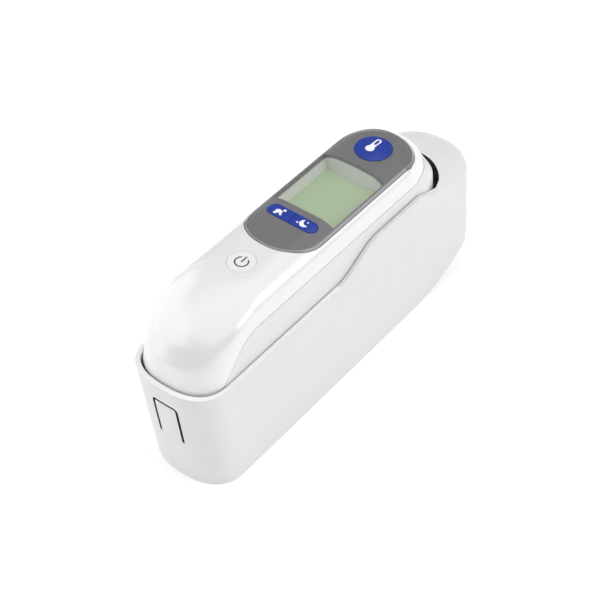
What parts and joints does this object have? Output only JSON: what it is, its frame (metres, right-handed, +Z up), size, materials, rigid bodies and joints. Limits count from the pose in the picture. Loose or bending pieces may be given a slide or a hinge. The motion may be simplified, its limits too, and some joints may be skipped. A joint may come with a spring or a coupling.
{
  "type": "ear thermometer",
  "caption": "Ear thermometer with a rounded handle, blank display, keys and probe, lying in an open boat-shaped storage case with a springy latch tongue.",
  "frame": {"origin": "on the ground, under the middle of the storage case", "axes": "+X along the handle towards the probe end, +Z up, display and keys facing up"},
  "size_m": [0.1784, 0.039, 0.0794],
  "materials": {
    "case_plastic": "satin white moulding",
    "housing_gloss": "glossy white moulding",
    "housing_satin": "satin white moulding",
    "panel_gray": "mid-gray, satin, with a lighter rounded border",
    "window_clear": "clear",
    "frame_pale": "pale gray satin",
    "lcd": "pale green, blank",
    "light_guide": "frosted",
    "led": "clear",
    "key_blue": "glossy blue",
    "key_white": "glossy white",
    "silicone": "translucent gray",
    "zebra_rubber": "matt",
    "board": "green solder mask",
    "chip": "matt black",
    "buzzer_brass": "satin",
    "cell": "dark sleeve, bright end",
    "contact_metal": "nickel plated",
    "screw_steel": "zinc plated",
    "probe_plastic": "glossy pale gray",
    "sensor_metal": "machined",
    "sensor_can": "nickel plated",
    "gold_tube": "gold plated",
    "ir_window": "dark infrared window",
    "flex": "amber film",
    "ejector_gray": "satin gray",
    "filter_film": "clear thin plastic"
  },
  "bodies": {
    "case": {"case_shell": "case_plastic"},
    "latch_tab": {"case_latch_tab": "case_plastic"},
    "thermometer": {"front_shell": "housing_gloss", "rear_shell": "housing_satin", "display_panel": "panel_gray", "display_window": "window_clear", "lcd_frame": "frame_pale", "lcd_glass": "lcd", "backlight_guide": "light_guide", "backlight_leds": "led", "zebra_strip": "zebra_rubber", "keypad_mats": "silicone", "tact_switches": "contact_metal", "main_board": "board", "controller_chips": "chip", "buzzer": "buzzer_brass", "battery_cells": "cell", "battery_contacts": "contact_metal", "battery_springs": "contact_metal", "housing_screws": "screw_steel", "probe_nozzle": "probe_plastic", "sensor_holder": "sensor_metal", "ir_sensor": "sensor_can", "wave_guide": "gold_tube", "probe_window": "ir_window", "sensor_flex": "flex", "filter_switch": "chip"},
    "measure_key": {"measure_button": "key_blue"},
    "age_key": {"age_button": "key_blue"},
    "night_key": {"night_button": "key_blue"},
    "power_key": {"power_button": "key_white"},
    "battery_door": {"battery_door": "housing_satin"},
    "ejector": {"filter_ejector": "ejector_gray", "ejector_springs": "contact_metal"},
    "filter": {"lens_filter": "filter_film"},
    "filter_pin": {"filter_pin": "contact_metal"}
  },
  "joints": [
    {"name": "thermometer_lift", "type": "slide", "parent": "case", "child": "thermometer", "axis": [-0.1391, 0, 0.9903], "range_m": [0, 0.09]},
    {"name": "latch_flex", "type": "hinge", "parent": "case", "child": "latch_tab", "pos_m": [-0.08335, 0, 0.0231], "axis": [0, 1, 0], "range_deg": [-2, 1.5], "stiffness_Nm_per_rad": 0.3},
    {"name": "measure_press", "type": "slide", "parent": "thermometer", "child": "measure_key", "axis": [0, 0, -1], "range_m": [0, 0.0008], "stiffness_N_per_m": 350},
    {"name": "age_press", "type": "slide", "parent": "thermometer", "child": "age_key", "axis": [0, 0, -1], "range_m": [0, 0.0008], "stiffness_N_per_m": 350},
    {"name": "night_press", "type": "slide", "parent": "thermometer", "child": "night_key", "axis": [0, 0, -1], "range_m": [0, 0.0008], "stiffness_N_per_m": 350},
    {"name": "power_press", "type": "slide", "parent": "thermometer", "child": "power_key", "axis": [0, 0, -1], "range_m": [0, 0.0008], "stiffness_N_per_m": 350},
    {"name": "battery_door_off", "type": "slide", "parent": "thermometer", "child": "battery_door", "axis": [0, 0, -1], "range_m": [0, 0.03]},
    {"name": "ejector_slide", "type": "slide", "parent": "thermometer", "child": "ejector", "axis": [0.342, 0, -0.9397], "range_m": [0, 0.0035], "stiffness_N_per_m": 200},
    {"name": "filter_slide", "type": "slide", "parent": "thermometer", "child": "filter", "axis": [0.342, 0, -0.9397], "range_m": [0, 0.0035]},
    {"name": "pin_slide", "type": "slide", "parent": "thermometer", "child": "filter_pin", "axis": [0.342, 0, -0.9397], "range_m": [0, 0.001]}
  ],
  "couplings": [
    {"joint": "filter_slide", "follows": "ejector_slide", "ratio": 1},
    {"joint": "pin_slide", "follows": "ejector_slide", "ratio": 0.2857}
  ]
}
